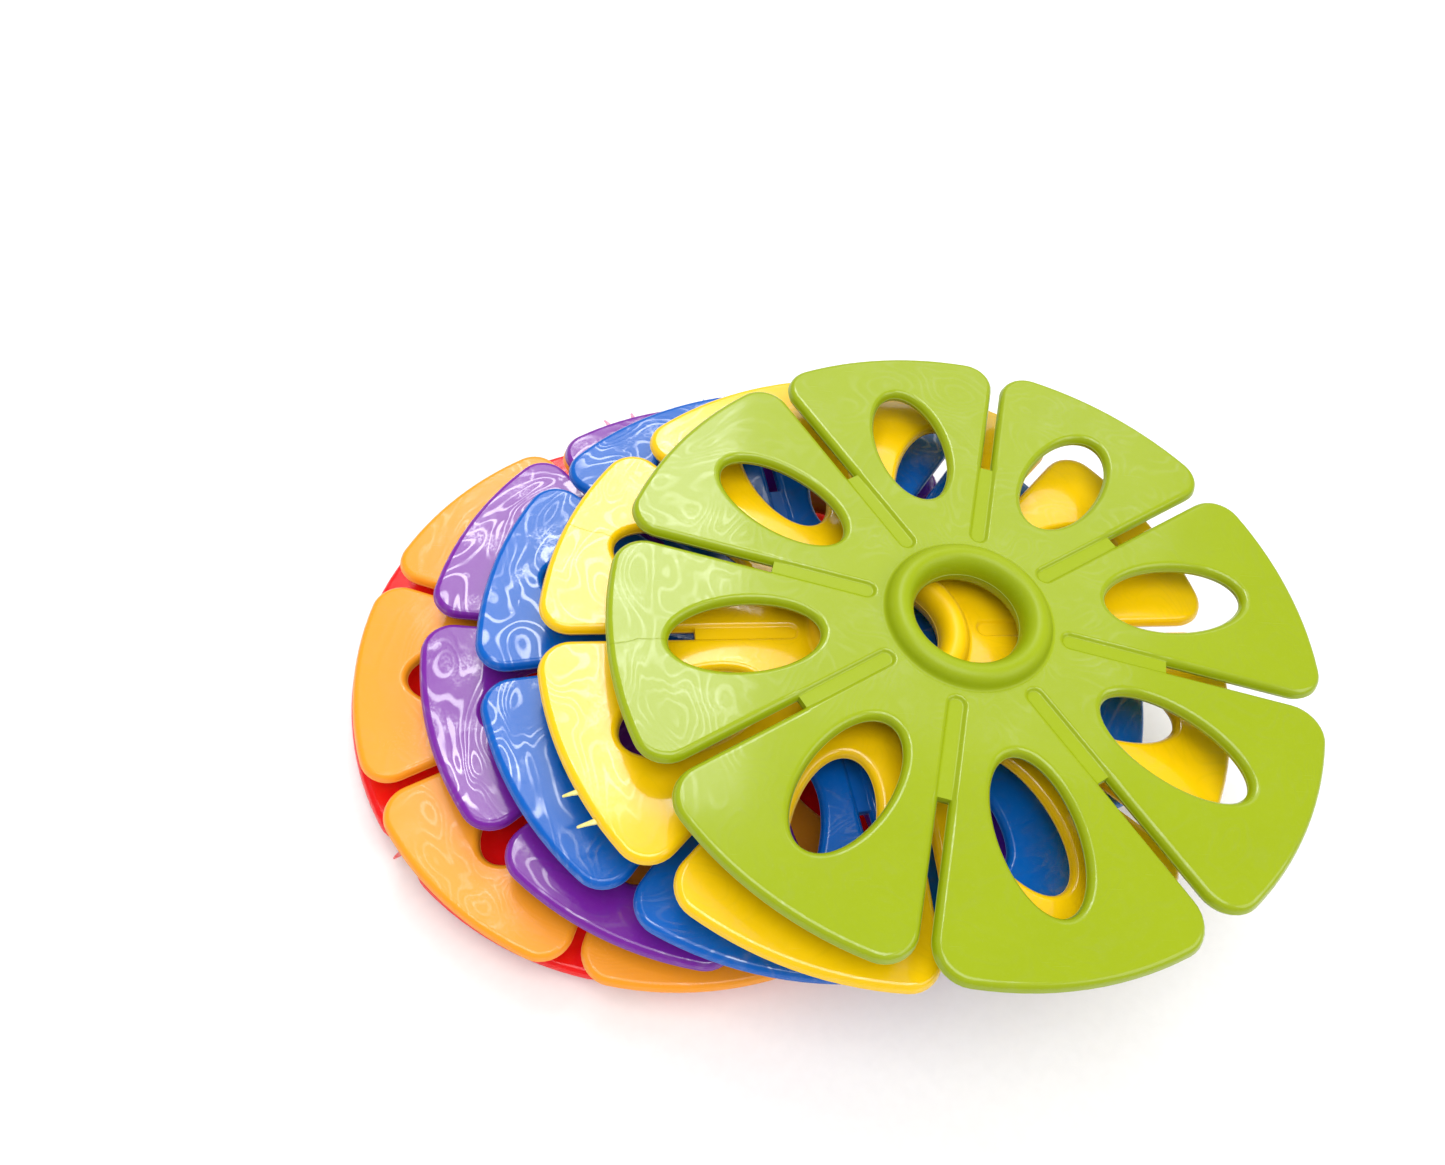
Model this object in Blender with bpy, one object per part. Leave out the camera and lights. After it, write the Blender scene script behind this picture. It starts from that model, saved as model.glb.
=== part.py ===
"""Six interlocking building discs, fanned out in a loose stack.

Every disc is the same moulding: a flat round plate cut into eight lobes by eight
narrow radial slots. Each lobe has an oval window, the hub has a thick round bead on
both faces about a through hole, and a shallow groove carries every slot on towards
the hub on both faces. Discs join at right angles: the slot of one straddles the thin
web that the grooves leave in the other. Lengths are in metres, +Z is up, and the
lowest disc stands on z = 0.
"""
import math

import bmesh
import bpy

MM = 0.001

# plate
DISC_RADIUS = 50.0 * MM
PLATE_THICKNESS = 2.4 * MM
EDGE_INSET = 0.9 * MM          # how far the face outline stays inside the rim and windows
LOBES = 8

# slots and the grooves that carry them on towards the hub
SLOT_WIDTH = 1.5 * MM
SLOT_INNER_RADIUS = 28.0 * MM
LOBE_CORNER_RADIUS = 4.5 * MM
GROOVE_WIDTH = 2.6 * MM
GROOVE_FLOOR_WIDTH = 2.1 * MM
GROOVE_DEPTH = 0.45 * MM
GROOVE_INNER_RADIUS = 12.9 * MM
GROOVE_WALL_RUN = 0.25 * MM    # slope of the groove wall at its inner tip
GROOVE_FLARE = 0.8 * MM        # length over which the floor widens inside the slot end
GROOVE_TIP_RUN = 0.8           # length of the groove's tapered tip, in half widths
GROOVE_TIP_WIDTH = 0.5         # width of the blunt end of that tip, as a share of the groove's

# windows
WINDOW_LENGTH = 21.0 * MM
WINDOW_WIDTH = 10.8 * MM
WINDOW_CENTRE_RADIUS = 31.5 * MM

# hub bead
HOLE_RADIUS = 7.6 * MM
BEAD_OUTER_RADIUS = 12.1 * MM
BEAD_HALF_HEIGHT = 3.25 * MM
BEAD_CREST_HALF_WIDTH = 0.6 * MM
BEAD_SHOULDER = 0.35           # rounding of the bead's shoulders, as a share of its size

# stack: the hub beads ride on each other with a small clearance
BEAD_CLEARANCE = 0.3 * MM
DISC_PITCH = 2.0 * BEAD_HALF_HEIGHT + BEAD_CLEARANCE

# facets
RIM_SEGMENTS = 5
CORNER_SEGMENTS = 3
WINDOW_SEGMENTS = 16
HUB_SEGMENTS = 32

# name, centre x and y in millimetres, turn of one slot from +X in degrees, colour;
# lowest disc first
STACK = (
    ("red_disc", -20.2, 3.9, 41.0, (0.70, 0.006, 0.008)),
    ("orange_disc", -18.4, 1.6, 28.8, (1.0, 0.24, 0.015)),
    ("purple_disc", -7.6, 2.3, 43.2, (0.17, 0.018, 0.38)),
    ("blue_disc", 1.4, -0.1, 11.1, (0.0, 0.125, 0.58)),
    ("yellow_disc", 10.6, -2.7, 4.5, (0.95, 0.64, 0.0)),
    ("green_disc", 20.2, -3.9, 31.5, (0.42, 0.60, 0.025)),
)
PLASTIC_ROUGHNESS = 0.22
SMOOTH_LIMIT = 24.0             # facets meeting at less than this many degrees look round


def turned(point, angle):
    """The flat point turned by an angle about the disc's centre."""
    x, y = point
    return (x * math.cos(angle) - y * math.sin(angle),
            x * math.sin(angle) + y * math.cos(angle))


def lobe_edge(inset, half_slot):
    """One lobe's rounded outline between its two slots, going anticlockwise.

    The lobe is centred on +X. Its two straight sides run along the neighbouring
    slots, half_slot away from their centre lines.
    """
    half_angle = math.pi / LOBES
    outer = DISC_RADIUS - inset
    corner = LOBE_CORNER_RADIUS - inset
    # centre of the corner rounding, seen along the slot's own direction
    off_slot = half_slot + corner
    along = math.sqrt((outer - corner) ** 2 - off_slot ** 2)
    lean = math.atan2(off_slot, along)
    points = []
    centre = turned((along, off_slot), -half_angle)
    start = -half_angle - math.pi / 2.0
    sweep = math.pi / 2.0 + lean
    for i in range(CORNER_SEGMENTS + 1):
        a = start + sweep * i / CORNER_SEGMENTS
        points.append((centre[0] + corner * math.cos(a), centre[1] + corner * math.sin(a)))
    rim_start = -half_angle + lean
    for i in range(1, RIM_SEGMENTS):
        a = rim_start - 2.0 * rim_start * i / RIM_SEGMENTS
        points.append((outer * math.cos(a), outer * math.sin(a)))
    mirrored = [(x, -y) for x, y in reversed(points[:CORNER_SEGMENTS + 1])]
    return points + mirrored


def groove_side(half_width, inner_radius):
    """One groove's outline from the slot end round its rounded tip and back.

    The groove lies along +X, and the points run inwards on its low side first.
    """
    tip = half_width * GROOVE_TIP_RUN
    side = [
        (SLOT_INNER_RADIUS, half_width),
        (SLOT_INNER_RADIUS - GROOVE_FLARE, half_width),
        (inner_radius + tip, half_width),
        (inner_radius, half_width * GROOVE_TIP_WIDTH),
    ]
    return [(x, -y) for x, y in side] + list(reversed(side))


def window_outline(grow):
    """The oval window of the lobe on +X, grown by an amount on every side."""
    points = []
    for i in range(WINDOW_SEGMENTS):
        a = 2.0 * math.pi * i / WINDOW_SEGMENTS
        points.append((WINDOW_CENTRE_RADIUS + (WINDOW_LENGTH / 2.0 + grow) * math.cos(a),
                       (WINDOW_WIDTH / 2.0 + grow) * math.sin(a)))
    return points


def bead_profile():
    """Radius and height of the hub bead, from the upper face round the hole."""
    middle = (HOLE_RADIUS + BEAD_OUTER_RADIUS) / 2.0
    half_width = (BEAD_OUTER_RADIUS - HOLE_RADIUS) / 2.0
    shoulder = half_width * (1.0 - BEAD_SHOULDER)
    shoulder_height = BEAD_HALF_HEIGHT * (1.0 - BEAD_SHOULDER)
    upper = [
        (BEAD_OUTER_RADIUS, PLATE_THICKNESS / 2.0),
        (middle + shoulder + BEAD_CREST_HALF_WIDTH / 2.0, shoulder_height),
        (middle + BEAD_CREST_HALF_WIDTH, BEAD_HALF_HEIGHT),
        (middle - BEAD_CREST_HALF_WIDTH, BEAD_HALF_HEIGHT),
        (middle - shoulder, shoulder_height),
    ]
    lower = [(r, -z) for r, z in reversed(upper)]
    return upper + [(HOLE_RADIUS, 0.0)] + lower


def add_ring(bm, outline, height, angle=0.0):
    """Vertices of a closed outline, turned by an angle, at one height."""
    return [bm.verts.new((*turned(p, angle), height)) for p in outline]


def bridge(bm, lower, upper):
    """Side faces between two rings that have the same number of vertices."""
    count = len(lower)
    for i in range(count):
        j = (i + 1) % count
        bm.faces.new((lower[i], lower[j], upper[j], upper[i]))


def edges_of(bm, ring, closed=True):
    """The edges along a ring, made where they are missing."""
    edges = []
    count = len(ring)
    for i in range(count if closed else count - 1):
        pair = (ring[i], ring[(i + 1) % count])
        edge = bm.edges.get(pair)
        edges.append(edge if edge else bm.edges.new(pair))
    return edges


def side_walls(bm, heights):
    """The outer outline of the plate with its slots; returns the four rings by lobe."""
    rings = []
    for height in heights:
        is_face = abs(height) > PLATE_THICKNESS / 2.0 - GROOVE_DEPTH / 2.0
        inset = EDGE_INSET if is_face else 0.0
        half_slot = GROOVE_WIDTH / 2.0 if is_face else SLOT_WIDTH / 2.0
        lobes = []
        for n in range(LOBES):
            angle = 2.0 * math.pi * n / LOBES
            edge = lobe_edge(inset, half_slot)
            slot_start = turned((SLOT_INNER_RADIUS, half_slot), -math.pi / LOBES)
            slot_end = (slot_start[0], -slot_start[1])
            lobes.append(add_ring(bm, [slot_start] + edge + [slot_end], height, angle))
        rings.append(lobes)
    return rings


def build_disc_mesh(name):
    """One whole disc, its axis on +Z through the origin."""
    bm = bmesh.new()
    top = PLATE_THICKNESS / 2.0
    floor = top - GROOVE_DEPTH
    rings = side_walls(bm, (-top, -floor, floor, top))
    for low, high in zip(rings, rings[1:]):
        for lobe_low, lobe_high in zip(low, high):
            for i in range(len(lobe_low) - 1):
                bm.faces.new((lobe_low[i], lobe_low[i + 1], lobe_high[i + 1], lobe_high[i]))
    # the web's end wall closes each slot at its inner end
    for n in range(LOBES):
        after = (n + 1) % LOBES
        bm.faces.new((rings[1][n][-1], rings[1][after][0], rings[2][after][0], rings[2][n][-1]))

    window_rings = []
    for n in range(LOBES):
        angle = 2.0 * math.pi * n / LOBES
        stack = [add_ring(bm, window_outline(EDGE_INSET), -top, angle),
                 add_ring(bm, window_outline(0.0), 0.0, angle),
                 add_ring(bm, window_outline(EDGE_INSET), top, angle)]
        bridge(bm, stack[1], stack[0])
        bridge(bm, stack[2], stack[1])
        window_rings.append(stack)

    hub_rings = []
    for radius, height in bead_profile():
        circle = [(radius * math.cos(2.0 * math.pi * i / HUB_SEGMENTS),
                   radius * math.sin(2.0 * math.pi * i / HUB_SEGMENTS))
                  for i in range(HUB_SEGMENTS)]
        hub_rings.append(add_ring(bm, circle, height))
    for outer, inner in zip(hub_rings, hub_rings[1:]):
        bridge(bm, outer, inner)

    for side, face_ring, web_ring, window_level, hub_ring in (
            (1.0, rings[3], rings[2], 2, hub_rings[0]),
            (-1.0, rings[0], rings[1], 0, hub_rings[-1])):
        face_edges = []
        for n in range(LOBES):
            after = (n + 1) % LOBES
            slot_angle = 2.0 * math.pi * (n + 0.5) / LOBES
            rim = groove_side(GROOVE_WIDTH / 2.0, GROOVE_INNER_RADIUS)[1:-1]
            bed = groove_side(GROOVE_FLOOR_WIDTH / 2.0,
                              GROOVE_INNER_RADIUS + GROOVE_WALL_RUN)[1:-1]
            rim_verts = [face_ring[n][-1]] + add_ring(bm, rim, side * top, slot_angle)
            rim_verts.append(face_ring[after][0])
            bed_verts = [web_ring[n][-1]] + add_ring(bm, bed, side * floor, slot_angle)
            bed_verts.append(web_ring[after][0])
            for i in range(len(rim_verts) - 1):
                bm.faces.new((rim_verts[i], rim_verts[i + 1], bed_verts[i + 1], bed_verts[i]))
            bm.faces.new(bed_verts)
            face_edges += edges_of(bm, face_ring[n], closed=False)
            face_edges += edges_of(bm, rim_verts, closed=False)
            face_edges += edges_of(bm, window_rings[n][window_level])
        face_edges += edges_of(bm, hub_ring)
        bmesh.ops.triangle_fill(bm, use_beauty=True, use_dissolve=False, edges=face_edges)

    bmesh.ops.triangulate(bm, faces=bm.faces[:])
    bmesh.ops.recalc_face_normals(bm, faces=bm.faces[:])
    mesh = bpy.data.meshes.new(name)
    bm.to_mesh(mesh)
    bm.free()
    return mesh


def shade_rounded(mesh, limit_degrees):
    """Smooth shading across facets that meet at a shallow angle."""
    mesh.shade_smooth()
    mesh.set_sharp_from_angle(angle=math.radians(limit_degrees))


def plastic(name, colour):
    """Glossy moulded plastic in one colour."""
    material = bpy.data.materials.new(name)
    material.use_nodes = True
    shader = material.node_tree.nodes["Principled BSDF"]
    shader.inputs["Base Color"].default_value = (*colour, 1.0)
    shader.inputs["Roughness"].default_value = PLASTIC_ROUGHNESS
    shader.inputs["Metallic"].default_value = 0.0
    return material


def add_disc(level, name, centre_x, centre_y, turn, colour, shape):
    """One disc of the stack, its origin at its own centre."""
    mesh = shape.copy()
    mesh.name = name
    mesh.materials.append(plastic(name.replace("disc", "plastic"), colour))
    disc = bpy.data.objects.new(name, mesh)
    disc.location = (centre_x * MM, centre_y * MM, BEAD_HALF_HEIGHT + level * DISC_PITCH)
    # lobes are built centred on +X, so a slot lies half a lobe round from there
    disc.rotation_euler = (0.0, 0.0, math.radians(turn) + math.pi / LOBES)
    bpy.context.scene.collection.objects.link(disc)
    return disc


def main():
    for old in list(bpy.data.objects):
        bpy.data.objects.remove(old, do_unlink=True)
    shape = build_disc_mesh("disc_shape")
    shade_rounded(shape, SMOOTH_LIMIT)
    for level, (name, centre_x, centre_y, turn, colour) in enumerate(STACK):
        add_disc(level, name, centre_x, centre_y, turn, colour, shape)
    bpy.data.meshes.remove(shape)


main()
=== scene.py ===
import math

import bmesh
import bpy
from mathutils import Matrix, Vector


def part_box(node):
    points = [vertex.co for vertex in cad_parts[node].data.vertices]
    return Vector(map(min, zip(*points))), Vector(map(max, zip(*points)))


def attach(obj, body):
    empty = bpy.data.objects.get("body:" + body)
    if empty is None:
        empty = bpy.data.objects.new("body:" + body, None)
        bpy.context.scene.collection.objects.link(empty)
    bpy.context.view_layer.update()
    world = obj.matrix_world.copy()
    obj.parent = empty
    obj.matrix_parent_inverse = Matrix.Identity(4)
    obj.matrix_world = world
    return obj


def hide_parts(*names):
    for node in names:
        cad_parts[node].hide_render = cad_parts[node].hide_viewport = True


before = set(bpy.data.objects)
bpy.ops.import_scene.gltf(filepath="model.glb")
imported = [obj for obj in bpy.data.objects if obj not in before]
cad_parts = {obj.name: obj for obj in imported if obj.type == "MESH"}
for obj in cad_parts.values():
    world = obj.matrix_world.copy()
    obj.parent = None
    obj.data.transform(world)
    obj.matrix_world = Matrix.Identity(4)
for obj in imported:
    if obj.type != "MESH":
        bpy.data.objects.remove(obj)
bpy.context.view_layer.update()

# A loose fan of six interlocking building discs in glossy moulded plastic.
#
# Each disc is one moulding: a flat plate with a rounded lip all round, eight lobes between
# eight radial slots, an oval window in every lobe, shallow grooves behind the slots, and a
# round bead about the hub hole. Sizes are in millimetres until they go into a mesh or a
# light. +Z is up and the floor is z = 0.

MM = 0.001

# plate and its lip
DISC_RADIUS = 50.0
HALF_PLATE = 1.2
LOBES = 8
LOBE_CORNER = 4.5
LIP_REACH = 1.0                     # how far the rounded lip runs in over the face
LIP_ANGLES = (0, 15, 30, 45, 54, 63, 72, 81, 90)
LIP_LANDING = 0.12                  # narrow flat strip that ends the rounding cleanly

# slots and the grooves behind them
HALF_SLOT = 0.75
SLOT_END = 28.0
WEB_END = 27.9
GROOVE_TIP = 14.45
GROOVE_SECTION = (                  # distance from the groove's middle, height
    (0.75, 0.75), (0.83, 0.752), (0.91, 0.765), (0.99, 0.80), (1.08, 0.88),
    (1.18, 0.99), (1.28, 1.085), (1.40, 1.16), (1.53, 1.2), (1.65, 1.2),
)

# windows
WINDOW_MIDDLE = 31.5
WINDOW_HALF_LENGTH = 10.5
WINDOW_HALF_WIDTH = 5.4

# hub bead
HOLE_RADIUS = 7.6
CREST_RADIUS = 9.7
CREST_HEIGHT = 3.25
BEAD_WAIST = 1.0                    # height of the middle of the bead's outer rounding
BEAD_OUTER = 11.7
BEAD_TURN_OUT = 22.0                # angle at which the rounding turns into the fillet
FILLET_END = 12.15
FILLET_LANDING = 12.3

# parting line of the mould
SEAM_STAND = 0.05
SEAM_HALF_HEIGHT = 0.05

# how finely things are cut
TIP_STEPS = 6
GROOVE_STEPS = 6
SLOT_STEPS = 6
CORNER_STEPS = 9
RIM_STEPS = 14
WINDOW_STEPS = 72
HUB_STEPS = 120
BEAD_STEPS = 9
FILLET_STEPS = 5
FLASH_STEPS = 8
SHARP_ANGLE = 38.0                  # faces meeting at more than this many degrees look sharp

# turn of one slot from +X in degrees
TURNS = {"red": 41.0, "orange": 28.8, "purple": 43.2, "blue": 11.1, "yellow": 4.5, "green": 31.5}

# flash left on the rim: place round the disc in degrees, length and width at the root,
# sideways lean in degrees
FLASH = {
    "red": ((156.8, 0.8, 0.7, 0.0),),
    "purple": ((53.4, 1.9, 0.9, 6.0), (48.2, 1.7, 0.9, -8.0)),
    "blue": ((76.4, 0.7, 0.5, 0.0), (72.0, 0.6, 0.5, 0.0)),
    "yellow": ((184.7, 1.9, 0.8, -16.0), (190.0, 2.4, 0.85, -20.0)),
}
FLASH_HALF_THICKNESS = 0.3
FLASH_ROOT = -0.35                  # how far the flash is rooted in the rim
FLASH_SHAPE = (                     # distance out, size and droop, as shares
    (0.0, 1.0, 0.0), (0.3, 0.8, -0.03), (0.65, 0.62, -0.1), (0.93, 0.48, -0.17),
    (1.0, 0.3, -0.2),
)


# ---------------------------------------------------------------- shapes

def turned(x, y, angle):
    """The flat point turned by an angle about the disc's centre."""
    return x * math.cos(angle) - y * math.sin(angle), x * math.sin(angle) + y * math.cos(angle)


def lip_steps():
    """Inset and height of the lip's rounding, from the rim up on to the face."""
    steps = []
    for angle in LIP_ANGLES:
        a = math.radians(angle)
        height = HALF_PLATE * math.sin(a)
        steps.append((LIP_REACH * (1.0 - math.cos(a)), max(height, SEAM_HALF_HEIGHT)))
    steps.append((LIP_REACH + LIP_LANDING, HALF_PLATE))
    return steps


def lobe_line(inset, height, groove_half, groove_height):
    """One line round a lobe, from one groove's tip out round the rim to the next one's.

    The lobe is centred on +X. Behind each slot's end the line follows the groove.
    """
    half_angle = math.pi / LOBES
    corner = LOBE_CORNER - inset
    off_slot = HALF_SLOT + LOBE_CORNER
    along = math.sqrt((DISC_RADIUS - LOBE_CORNER) ** 2 - off_slot ** 2)
    lean = math.atan2(off_slot, along)
    beside = []                     # in the slot's own directions: along it, away from it
    for i in range(TIP_STEPS + 1):
        a = math.pi - math.pi / 2.0 * i / TIP_STEPS
        beside.append((GROOVE_TIP + groove_half * math.cos(a), groove_half * math.sin(a),
                       groove_height))
    for i in range(1, GROOVE_STEPS + 1):
        u = GROOVE_TIP + (WEB_END - GROOVE_TIP) * i / GROOVE_STEPS
        beside.append((u, groove_half, groove_height))
    for i in range(SLOT_STEPS):
        u = SLOT_END + (along - SLOT_END) * i / SLOT_STEPS
        beside.append((u, HALF_SLOT + inset, height))
    sweep = math.pi / 2.0 + lean
    for i in range(CORNER_STEPS + 1):
        a = -math.pi / 2.0 + sweep * i / CORNER_STEPS
        beside.append((along + corner * math.cos(a), off_slot + corner * math.sin(a), height))
    line = [(*turned(u, v, -half_angle), z) for u, v, z in beside]
    mirrored = [(x, -y, z) for x, y, z in reversed(line)]
    rim_start = -half_angle + lean
    for i in range(1, RIM_STEPS):
        a = rim_start - 2.0 * rim_start * i / RIM_STEPS
        line.append(((DISC_RADIUS - inset) * math.cos(a), (DISC_RADIUS - inset) * math.sin(a),
                     height))
    return line + mirrored


def window_line(inset, height):
    """One line round the window of the lobe on +X, an inset away from its edge."""
    line = []
    for i in range(WINDOW_STEPS):
        a = 2.0 * math.pi * i / WINDOW_STEPS
        x, y = WINDOW_HALF_LENGTH * math.cos(a), WINDOW_HALF_WIDTH * math.sin(a)
        nx, ny = WINDOW_HALF_WIDTH * math.cos(a), WINDOW_HALF_LENGTH * math.sin(a)
        size = math.hypot(nx, ny)
        line.append((WINDOW_MIDDLE + x + inset * nx / size, y + inset * ny / size, height))
    return line


def bead_section():
    """Radius and height of the hub bead, from the hole's wall over the crest to the face."""
    section = [(HOLE_RADIUS, SEAM_HALF_HEIGHT)]
    for i in range(1, BEAD_STEPS + 1):
        a = math.pi / 2.0 * i / BEAD_STEPS
        section.append((CREST_RADIUS - (CREST_RADIUS - HOLE_RADIUS) * math.cos(a),
                        CREST_HEIGHT * math.sin(a)))
    turn = math.radians(BEAD_TURN_OUT)
    wide, high = BEAD_OUTER - CREST_RADIUS, CREST_HEIGHT - BEAD_WAIST
    for i in range(1, BEAD_STEPS + 1):
        a = math.pi / 2.0 + (turn - math.pi / 2.0) * i / BEAD_STEPS
        section.append((CREST_RADIUS + wide * math.cos(a), BEAD_WAIST + high * math.sin(a)))
    r0, z0 = section[-1]
    steep = high * math.cos(turn) / (wide * math.sin(turn))
    r1, z1 = r0 + (z0 - HALF_PLATE) / steep, HALF_PLATE
    for i in range(1, FILLET_STEPS + 1):
        t = i / FILLET_STEPS
        section.append(((1 - t) ** 2 * r0 + 2 * t * (1 - t) * r1 + t * t * FILLET_END,
                        (1 - t) ** 2 * z0 + 2 * t * (1 - t) * z1 + t * t * HALF_PLATE))
    section.append((FILLET_LANDING, HALF_PLATE))
    return section


def circle(radius, height):
    """One line round the hub."""
    return [(radius * math.cos(2.0 * math.pi * i / HUB_STEPS),
             radius * math.sin(2.0 * math.pi * i / HUB_STEPS), height)
            for i in range(HUB_STEPS)]


class DiscMesh:
    """Collects one disc's vertices and faces, with the seam and lip marked on them."""

    def __init__(self):
        self.bm = bmesh.new()
        self.seam = self.bm.verts.layers.float.new("seam")
        self.lip = self.bm.verts.layers.float.new("lip")

    def line(self, points, side=1.0, angle=0.0, lip=0.0, seam=0.0):
        """Vertices along one line, turned round the disc and on its upper or lower side."""
        verts = []
        for x, y, z in points:
            vert = self.bm.verts.new((*(c * MM for c in turned(x, y, angle)), side * z * MM))
            vert[self.lip] = lip
            vert[self.seam] = seam
            verts.append(vert)
        return verts

    def strip(self, low, high, closed=True):
        """Faces between two lines of the same number of vertices."""
        count = len(low) if closed else len(low) - 1
        faces = []
        for i in range(count):
            j = (i + 1) % len(low)
            faces.append(self.bm.faces.new((low[i], low[j], high[j], high[i])))
        return faces

    def edges(self, line):
        """The closed line's edges."""
        found = []
        for a, b in zip(line, line[1:] + line[:1]):
            found.append(self.bm.edges.get((a, b)) or self.bm.edges.new((a, b)))
        return found


def outline_lines(mesh, side):
    """All the lines of the plate's outline on one side, lobe by lobe and joined up."""
    lines = []
    for step, (groove_half, groove_height) in zip(lip_steps(), GROOVE_SECTION):
        inset, height = step
        whole = []
        for n in range(LOBES):
            points = lobe_line(inset, height, groove_half, groove_height)[:-1]
            whole += mesh.line(points, side, 2.0 * math.pi * n / LOBES,
                               lip=1.0 - height / HALF_PLATE)
        lines.append(whole)
    return lines


def build_disc():
    """The mesh of one disc, its axis on +Z through the origin."""
    mesh = DiscMesh()
    bm = mesh.bm
    per_lobe = len(lobe_line(0.0, 0.0, *GROOVE_SECTION[0])) - 1
    first_open = TIP_STEPS + GROOVE_STEPS + 1
    last_open = per_lobe - first_open
    # the seam, shared by both sides
    seams = []
    for n in range(LOBES):
        points = lobe_line(-SEAM_STAND, 0.0, *GROOVE_SECTION[0])
        seams.append(mesh.line(points[first_open:last_open + 1],
                               angle=2.0 * math.pi * n / LOBES, seam=1.0, lip=1.0))
    window_seams = [mesh.line(window_line(-SEAM_STAND, 0.0), angle=2.0 * math.pi * n / LOBES,
                              seam=1.0, lip=1.0) for n in range(LOBES)]
    hole_seam = mesh.line(circle(HOLE_RADIUS - SEAM_STAND, 0.0), seam=1.0)

    for side in (1.0, -1.0):
        lines = outline_lines(mesh, side)
        for low, high in zip(lines, lines[1:]):
            mesh.strip(low, high)
        for n in range(LOBES):
            start = n * per_lobe
            low = lines[0]
            mesh.strip(seams[n], low[start + first_open:start + last_open + 1], closed=False)
            # floor of the groove and end wall of the slot after this lobe
            after = ((n + 1) % LOBES) * per_lobe
            a_seam, b_seam = seams[n][-1], seams[(n + 1) % LOBES][0]
            a_open, b_open = low[start + last_open], low[after + first_open]
            a_web, b_web = low[start + last_open + 1], low[after + first_open - 1]
            bm.faces.new((a_seam, b_seam, b_open, a_open))
            bm.faces.new((a_open, b_open, b_web, a_web))
            tip = low[start + last_open + 1:start + per_lobe] + low[after:after + first_open]
            bm.faces.new(tip)
        face_edges = mesh.edges(lines[-1])
        for n in range(LOBES):
            angle = 2.0 * math.pi * n / LOBES
            rings = [window_seams[n]]
            for inset, height in lip_steps():
                rings.append(mesh.line(window_line(inset, height), side, angle,
                                       lip=1.0 - height / HALF_PLATE))
            for low, high in zip(rings, rings[1:]):
                mesh.strip(low, high)
            face_edges += mesh.edges(rings[-1])
        rings = [hole_seam] + [mesh.line(circle(r, z), side, lip=float(r < FILLET_LANDING))
                               for r, z in bead_section()]
        for low, high in zip(rings, rings[1:]):
            mesh.strip(low, high)
        face_edges += mesh.edges(rings[-1])
        bmesh.ops.triangle_fill(bm, use_beauty=True, use_dissolve=False, edges=face_edges)
    bmesh.ops.recalc_face_normals(bm, faces=bm.faces[:])
    return mesh


def add_flash(mesh, place, length, width, lean):
    """A thin pointed sliver left on the rim where the mould halves met."""
    stations = [(FLASH_ROOT, 1.1, 0.0)]
    stations += [(reach * length, share, droop * length) for reach, share, droop in FLASH_SHAPE]
    rings = []
    for out, share, droop in stations:
        ring = []
        for i in range(FLASH_STEPS):
            a = 2.0 * math.pi * i / FLASH_STEPS
            x, y = turned(out, share * width / 2.0 * math.cos(a), math.radians(lean))
            z = share * FLASH_HALF_THICKNESS * math.sin(a) + droop
            ring.append((x + DISC_RADIUS, y, z))
        rings.append(mesh.line(ring, angle=math.radians(place), seam=0.6, lip=1.0))
    faces = []
    for low, high in zip(rings, rings[1:]):
        faces += mesh.strip(low, high)
    faces.append(mesh.bm.faces.new(list(reversed(rings[0]))))
    faces.append(mesh.bm.faces.new(rings[-1]))
    for face in faces:
        face.material_index = 1
    bmesh.ops.recalc_face_normals(mesh.bm, faces=faces)


# ---------------------------------------------------------------- finishes

# sockets of a colour Mix node
MIX_AMOUNT, MIX_FIRST, MIX_SECOND, MIX_RESULT = 0, 6, 7, 2

# flow marks: waves of gloss that follow a slow field, and eyes in the lobes' corners
WAVES = 92.0                        # how tightly the waves follow the field
EYE_WAVES = 18.0                    # phase gained from an eye's edge to its middle
EYE_REACH = 43.5                    # distance of an eye from the disc's axis
EYE_OFF_SLOT = 0.14                 # its direction from the nearest slot, in radians
EYE_SIZE = 8.0
DRAWN_OUT = (30.0, 1.3)             # scale of the field round the disc and outwards
WELD_START = (41.6, 42.6)           # distance from the axis at which a weld line fades in
WELD_WIDTH = (0.02, 0.12)
WELD_WANDER = 1.4                   # how far it wanders from straight
WELD_ASIDE = 0.25                   # how far beside the lobe's middle it runs
WELD_LOBE = (38.0, 39.0)            # how far out along its lobe a point has to be

GLOSS_COAT_INDEX = 1.9
GLOSS_COAT_ROUGHNESS = 0.09
PLASTIC_INDEX = 1.36
FLASH_INDEX = 1.5


class Value:
    """One value in a finish. Arithmetic on it adds Math nodes."""

    def __init__(self, finish, socket):
        self.finish = finish
        self.socket = socket

    def maths(self, operation, *values):
        return self.finish.node("ShaderNodeMath", {"operation": operation}, values)

    def __add__(self, other):
        return self.maths("ADD", self, other)

    def __radd__(self, other):
        return self.maths("ADD", other, self)

    def __sub__(self, other):
        return self.maths("SUBTRACT", self, other)

    def __rsub__(self, other):
        return self.maths("SUBTRACT", other, self)

    def __mul__(self, other):
        return self.maths("MULTIPLY", self, other)

    def __rmul__(self, other):
        return self.maths("MULTIPLY", other, self)

    def __truediv__(self, other):
        return self.maths("DIVIDE", self, other)

    def __pow__(self, other):
        return self.maths("POWER", self, other)

    def sine(self):
        return self.maths("SINE", self)

    def size(self):
        return self.maths("ABSOLUTE", self)

    def length(self, other):
        """Length of the flat vector whose two parts are these values."""
        return (self * self + other * other) ** 0.5

    def between(self, low, high):
        """0 at low and below, 1 at high and above, smooth in the middle."""
        return self.finish.node("ShaderNodeMapRange", {"interpolation_type": "SMOOTHSTEP"},
                                (self, low, high, 0.0, 1.0))


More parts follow.
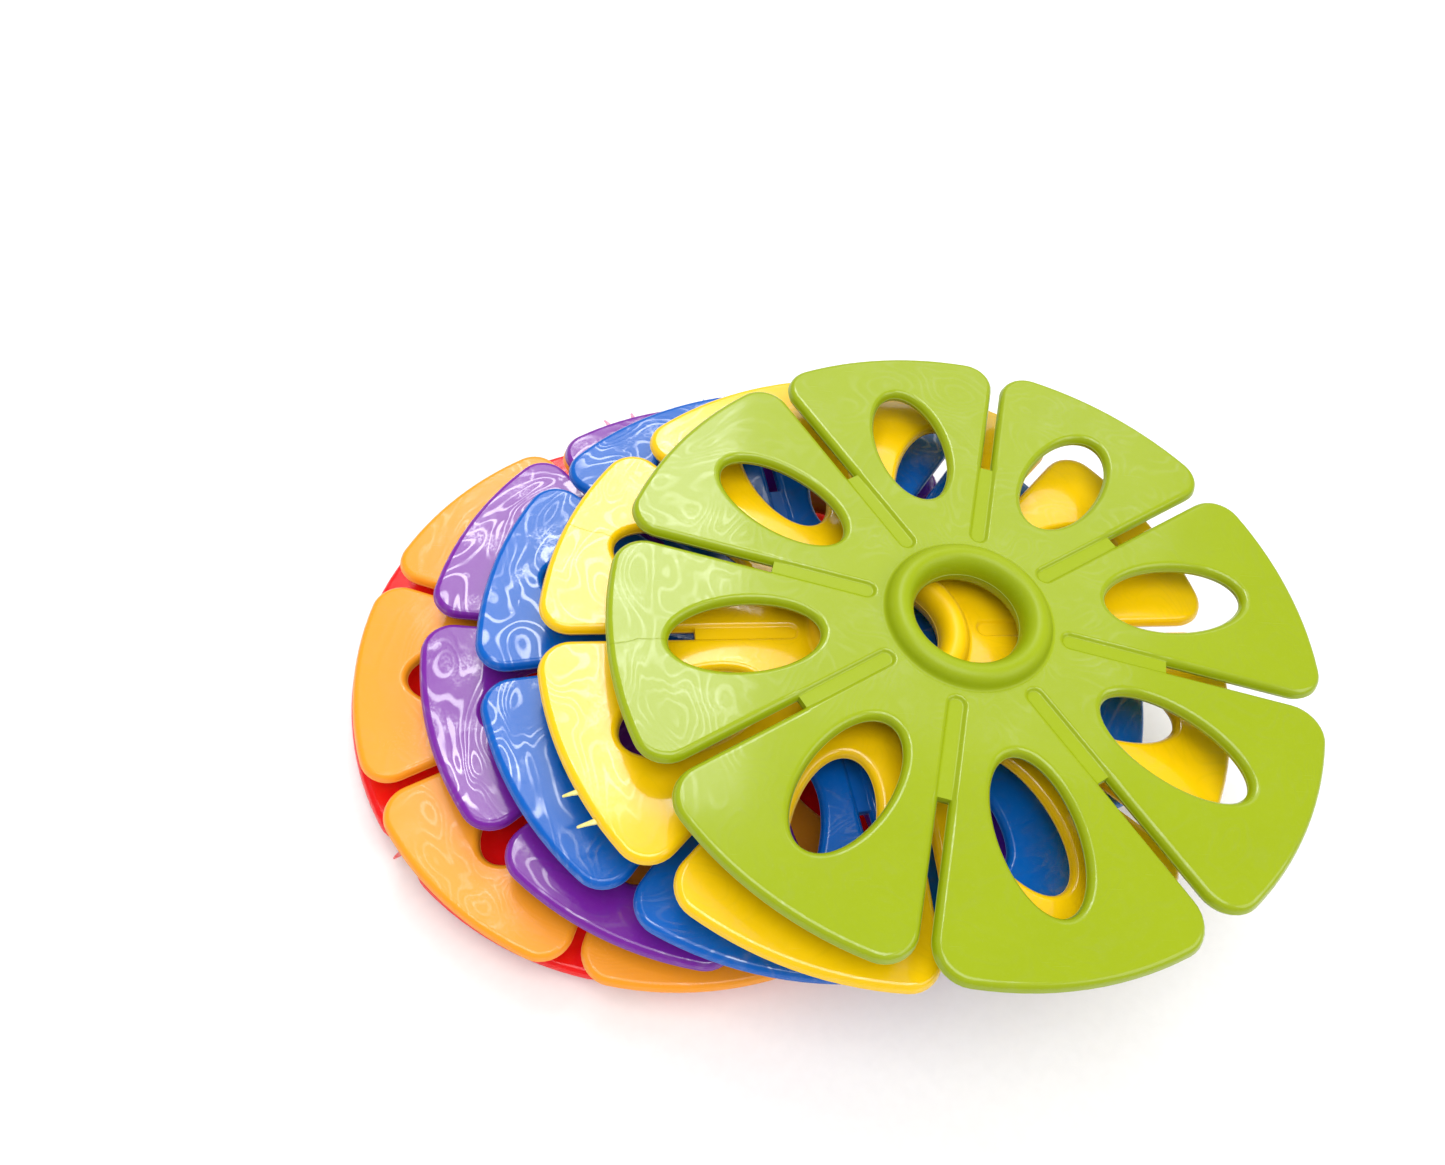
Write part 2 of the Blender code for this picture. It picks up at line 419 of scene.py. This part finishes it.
class Finish:
    """A procedural material, written as expressions on Values."""

    def __init__(self, name):
        self.material = bpy.data.materials.new(name)
        self.material.use_nodes = True
        self.tree = self.material.node_tree
        self.tree.nodes.clear()
        self.output = self.tree.nodes.new("ShaderNodeOutputMaterial")

    def node(self, kind, settings=None, sockets=(), output=0):
        """Adds a node: its settings first, then the values or links of its sockets."""
        made = self.tree.nodes.new(kind)
        for key, value in (settings or {}).items():
            setattr(made, key, value)
        pairs = sockets.items() if isinstance(sockets, dict) else enumerate(sockets)
        for key, value in pairs:
            if isinstance(value, Value):
                self.tree.links.new(value.socket, made.inputs[key])
            else:
                made.inputs[key].default_value = value
        return Value(self, made.outputs[output])

    def place(self, shift=(0.0, 0.0, 0.0), stretch=(1.0, 1.0, 1.0)):
        """The point on the disc in millimetres, shifted and stretched."""
        spot = self.node("ShaderNodeTexCoord", output="Object")
        scale = tuple(s / MM for s in stretch)
        return self.node("ShaderNodeVectorMath", {"operation": "MULTIPLY_ADD"},
                         (spot, scale, shift))

    def noise(self, place, scale, detail=2.0, roughness=0.5, distortion=0.0):
        return self.node("ShaderNodeTexNoise", {"noise_dimensions": "3D"},
                         {"Vector": place, "Scale": scale, "Detail": detail,
                          "Roughness": roughness, "Distortion": distortion})

    def mark(self, name):
        """A value painted on the mesh."""
        return self.node("ShaderNodeAttribute", {"attribute_name": name}, output="Fac")

    def mix(self, amount, first, second):
        """Two colours mixed."""
        return self.node("ShaderNodeMix", {"data_type": "RGBA"},
                         {MIX_AMOUNT: amount, MIX_FIRST: first, MIX_SECOND: second},
                         output=MIX_RESULT)

    def bump(self, height):
        """The surface's direction where it stands up by a height in millimetres."""
        return self.node("ShaderNodeBump", None,
                         {"Height": height, "Strength": 1.0, "Distance": MM})

    def surface(self, **sockets):
        """The Principled surface, which ends the finish."""
        named = {key.replace("_", " "): value for key, value in sockets.items()}
        shader = self.node("ShaderNodeBsdfPrincipled", None, named)
        self.tree.links.new(shader.socket, self.output.inputs["Surface"])
        return self.material


def rgb(colour):
    return (*colour, 1.0)


def shade(colour, share):
    """The colour made darker."""
    return rgb(tuple(c * share for c in colour))


def tint(colour, share):
    """The colour moved towards white."""
    return rgb(tuple(c + (1.0 - c) * share for c in colour))


def flow_marks(finish, turn, seed, weld_at):
    """Marks left by the melt: the flow lines, the slow field they follow, the weld line.

    The field is drawn out round the disc and has an eye in the corners of some lobes. The
    weld line, where the melt met again behind a window, runs from there out to the rim.
    weld_at is the direction of the lobe that shows one, or None.
    """
    spot = finish.place()
    x, y = (finish.node("ShaderNodeSeparateXYZ", None, (spot,), output=axis) for axis in (0, 1))
    reach = x.length(y)
    around, outwards = DRAWN_OUT
    along = finish.node("ShaderNodeCombineXYZ", None,
                        (x / reach * around + seed * 37.0, y / reach * around,
                         reach * outwards))
    field = finish.noise(along, 0.075, 1.5, 0.45, 0.9)
    # how far round from the middle of the lobe and from the nearest slot, in radians
    round_by = y.maths("ARCTAN2", y, x) - turn
    half_lobe = math.pi / LOBES
    off_middle = round_by.maths("FLOORED_MODULO", round_by, 2.0 * half_lobe) - half_lobe
    off_slot = half_lobe - off_middle.size()
    from_eye = (reach - EYE_REACH).length((off_slot - EYE_OFF_SLOT) * EYE_REACH)
    some_lobes = finish.noise(along, 0.03).between(0.42, 0.5)
    eyes = (1.0 - from_eye.between(0.0, EYE_SIZE)) * some_lobes
    rings = (field * WAVES + eyes * EYE_WAVES).sine()
    if weld_at is None:
        return rings, field, 0.0
    wander = (finish.noise(spot, 0.3, 2.0) - 0.5) * WELD_WANDER
    off_weld = (off_middle * reach + wander + WELD_ASIDE).size()
    this_lobe = (x * math.cos(weld_at) + y * math.sin(weld_at)).between(*WELD_LOBE)
    weld = (1.0 - off_weld.between(*WELD_WIDTH)) * reach.between(*WELD_START) * this_lobe
    return rings, field, weld


def moulded_plastic(name, colour, turn, seed, weld_at, gloss, ripple, haze, flow):
    """Glossy moulded plastic with flow marks, fine orange peel, specks and scratches.

    The flow marks are glossier lines round the lobes, seen only where a light is
    mirrored. Haze is how much of that gloss lies between the lines.
    """
    finish = Finish(name)
    # each disc takes its marks from another place in the noise
    shift = (seed * 37.0, seed * 11.0, seed * 5.0)
    place = finish.place(shift)
    seam = finish.mark("seam")
    lip = finish.mark("lip")

    clouds = finish.noise(place, 0.10, 3.0, 0.55)
    mottle = finish.noise(place, 0.9, 2.0)
    specks = finish.noise(place, 2.6, 1.0)
    rings, swirl, weld = flow_marks(finish, turn, seed, weld_at)
    lines = rings.between(0.35, 1.0) * finish.noise(place, 0.16, 2.0).between(0.3, 0.62)
    patches = finish.noise(place, 0.13, 4.0, 0.62).between(0.48, 0.68)
    glints = finish.noise(place, 0.42, 3.0, 0.6, 0.8).between(0.64, 0.74)
    peel = finish.noise(place, 2.6, 2.0)
    scratch_place = finish.place(shift, (0.05, 1.3, 1.0))
    scratches = finish.noise(scratch_place, 1.6, 3.0, 0.7).between(0.66, 0.72)

    base = finish.mix(clouds.between(0.3, 0.75) * 0.5, shade(colour, 0.95), rgb(colour))
    base = finish.mix(mottle.between(0.45, 0.7) * 0.04, base, tint(colour, 0.08))
    base = finish.mix(specks.between(0.62, 0.75) * 0.05, base, tint(colour, 0.15))
    base = finish.mix(seam * 0.45, base, tint(colour, 0.35))
    base = finish.mix(weld * 0.3, base, shade(colour, 0.4))
    rough = gloss + (clouds - 0.5) * 0.06 + scratches * 0.12 + specks * 0.04 + lip * 0.16
    coat = (lines * (0.66 * flow) + patches * (0.12 + specks.between(0.4, 0.62) * 0.48) * flow
            + glints * (0.5 * flow) + haze) * (1.0 - lip * 0.9) * (1.0 - weld * 0.7)
    height = rings * (0.003 * ripple) + swirl * (0.03 * ripple) + peel * 0.003
    normal = finish.bump(height - scratches * 0.0015 - weld * 0.012)
    return finish.surface(Base_Color=base, Roughness=rough, Coat_Weight=coat.between(0.0, 1.0),
                          Coat_Roughness=GLOSS_COAT_ROUGHNESS, Coat_IOR=GLOSS_COAT_INDEX,
                          Normal=normal, IOR=PLASTIC_INDEX)


def flash_plastic(name, colour):
    """The thin flash, paler than the disc because it is so thin."""
    finish = Finish(name)
    place = finish.place()
    fibres = finish.noise(place, 3.0, 3.0, 0.6)
    base = finish.mix(fibres.between(0.3, 0.7), tint(colour, 0.05), tint(colour, 0.22))
    normal = finish.bump(fibres * 0.05)
    return finish.surface(Base_Color=base, Roughness=0.3 + fibres * 0.15, Normal=normal,
                          IOR=FLASH_INDEX)


def painted_floor(name):
    """Matt pale board with a very faint tooth."""
    finish = Finish(name)
    place = finish.place()
    tooth = finish.noise(place, 0.5, 4.0, 0.6)
    base = finish.mix(tooth.between(0.2, 0.8), (0.92, 0.92, 0.92, 1.0), (0.95, 0.95, 0.95, 1.0))
    normal = finish.bump(tooth * 0.02)
    return finish.surface(Base_Color=base, Roughness=0.75 + tooth * 0.1, Normal=normal)


COLOURS = {
    "red": (0.95, 0.007, 0.007),
    "orange": (0.98, 0.35, 0.015),
    "purple": (0.19, 0.015, 0.33),
    "blue": (0.0006, 0.113, 0.51),
    "yellow": (0.95, 0.59, 0.0008),
    "green": (0.31, 0.40, 0.0025),
}
# gloss roughness, strength of the ripples, haze, strength of the flow marks
SURFACES = {
    "red": (0.16, 0.8, 0.15, 0.6), "orange": (0.24, 0.6, 0.12, 0.32),
    "purple": (0.16, 1.0, 0.2, 1.0), "blue": (0.15, 1.0, 0.04, 1.0),
    "yellow": (0.18, 0.6, 0.34, 0.4), "green": (0.2, 0.5, 0.25, 0.26),
}
# direction of the lobe that shows a weld line, in degrees from +X
WELDS = {"yellow": 162.0, "green": 189.0}
FLASH_COLOURS = {
    "red": (0.8, 0.05, 0.05), "purple": (0.75, 0.22, 0.40), "blue": (0.02, 0.2, 0.6),
    "yellow": (0.72, 0.64, 0.10),
}


# ---------------------------------------------------------------- pieces

def add_disc(colour_name, seed):
    """One disc of the fan in its own colour, in place of its plain CAD disc."""
    node = colour_name + "_disc"
    low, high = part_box(node)
    mesh = build_disc()
    for flash in FLASH.get(colour_name, ()):
        add_flash(mesh, *flash)
    shape = bpy.data.meshes.new(node + "_shape")
    mesh.bm.to_mesh(shape)
    mesh.bm.free()
    shape.shade_smooth()
    shape.set_sharp_from_angle(angle=math.radians(SHARP_ANGLE))
    turn = math.radians(TURNS[colour_name])
    weld_at = math.radians(WELDS[colour_name]) if colour_name in WELDS else None
    shape.materials.append(moulded_plastic(colour_name + "_gloss", COLOURS[colour_name], turn,
                                           seed, weld_at, *SURFACES[colour_name]))
    shape.materials.append(flash_plastic(colour_name + "_flash",
                                         FLASH_COLOURS.get(colour_name, COLOURS[colour_name])))
    # lobes are built centred on +X, so a slot lies half a lobe round from there
    shape.transform(Matrix.Rotation(turn + math.pi / LOBES, 4, "Z"))
    disc = bpy.data.objects.new("moulded_" + node, shape)
    disc.location = (low + high) / 2.0
    bpy.context.scene.collection.objects.link(disc)
    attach(disc, colour_name)
    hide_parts(node)


def add_floor():
    """A wide pale board under the stack."""
    bm = bmesh.new()
    bmesh.ops.create_grid(bm, x_segments=8, y_segments=8, size=3.0)
    shape = bpy.data.meshes.new("floor_board")
    bm.to_mesh(shape)
    bm.free()
    shape.materials.append(painted_floor("floor_paint"))
    floor = bpy.data.objects.new("floor_board", shape)
    floor.location = (0.0, 0.0, -0.0002)
    bpy.context.scene.collection.objects.link(floor)


def add_softbox(name, place, aim, width, height, power):
    """A rectangular soft light at a place, facing a point."""
    lamp = bpy.data.lights.new(name, "AREA")
    lamp.shape = "RECTANGLE"
    lamp.size = width * MM
    lamp.size_y = height * MM
    lamp.energy = power
    holder = bpy.data.objects.new(name, lamp)
    holder.location = Vector(place) * MM
    towards = (Vector(aim) - Vector(place)).normalized()
    holder.rotation_euler = towards.to_track_quat("-Z", "Y").to_euler()
    bpy.context.scene.collection.objects.link(holder)


def add_lights():
    # The sheen on the left lobes comes from a soft box behind the stack to the left, with a
    # small one below it and a dimmer wide one above. The other two light the colours.
    add_softbox("sheen_light", (-65.0, 347.0, 580.0), (-40.0, 0.0, 20.0), 240.0, 305.0, 1.27)
    add_softbox("low_sheen_light", (-140.0, 160.0, 570.0), (-40.0, 0.0, 20.0), 150.0, 120.0, 0.2)
    add_softbox("wide_sheen_light", (110.0, 500.0, 600.0), (0.0, 0.0, 20.0), 620.0, 400.0, 0.95)
    add_softbox("top_light", (-60.0, -170.0, 700.0), (0.0, 0.0, 20.0), 620.0, 400.0, 3.3)
    add_softbox("side_light", (560.0, -260.0, 520.0), (20.0, 0.0, 20.0), 560.0, 400.0, 1.6)
    room = bpy.data.worlds.new("studio_room")
    room.use_nodes = True
    backdrop = room.node_tree.nodes["Background"]
    backdrop.inputs["Color"].default_value = (1.0, 1.0, 1.0, 1.0)
    backdrop.inputs["Strength"].default_value = 0.42
    bpy.context.scene.world = room


CAMERA_PLACE = (-26.44, -83.51, 159.87)
CAMERA_AHEAD = (0.0838, 0.5608, -0.8237)
CAMERA_RIGHT = (0.9949, 0.0, 0.1012)
CAMERA_LENS = 26.71


def add_camera():
    """The camera, close above the fan and leaning slightly to one side."""
    camera = bpy.data.cameras.new("camera")
    camera.lens = CAMERA_LENS
    camera.sensor_width = 36.0
    camera.clip_start = 0.005
    camera.clip_end = 20.0
    ahead = Vector(CAMERA_AHEAD).normalized()
    up = Vector(CAMERA_RIGHT).cross(ahead).normalized()
    right = ahead.cross(up)
    holder = bpy.data.objects.new("camera", camera)
    turn = Matrix((right, up, -ahead)).transposed()
    holder.matrix_world = Matrix.Translation(Vector(CAMERA_PLACE) * MM) @ turn.to_4x4()
    bpy.context.scene.collection.objects.link(holder)
    bpy.context.scene.camera = holder


def main():
    for seed, colour_name in enumerate(TURNS):
        add_disc(colour_name, seed + 1)
    add_floor()
    add_lights()
    add_camera()
    bpy.context.scene.view_settings.view_transform = "Standard"


main()
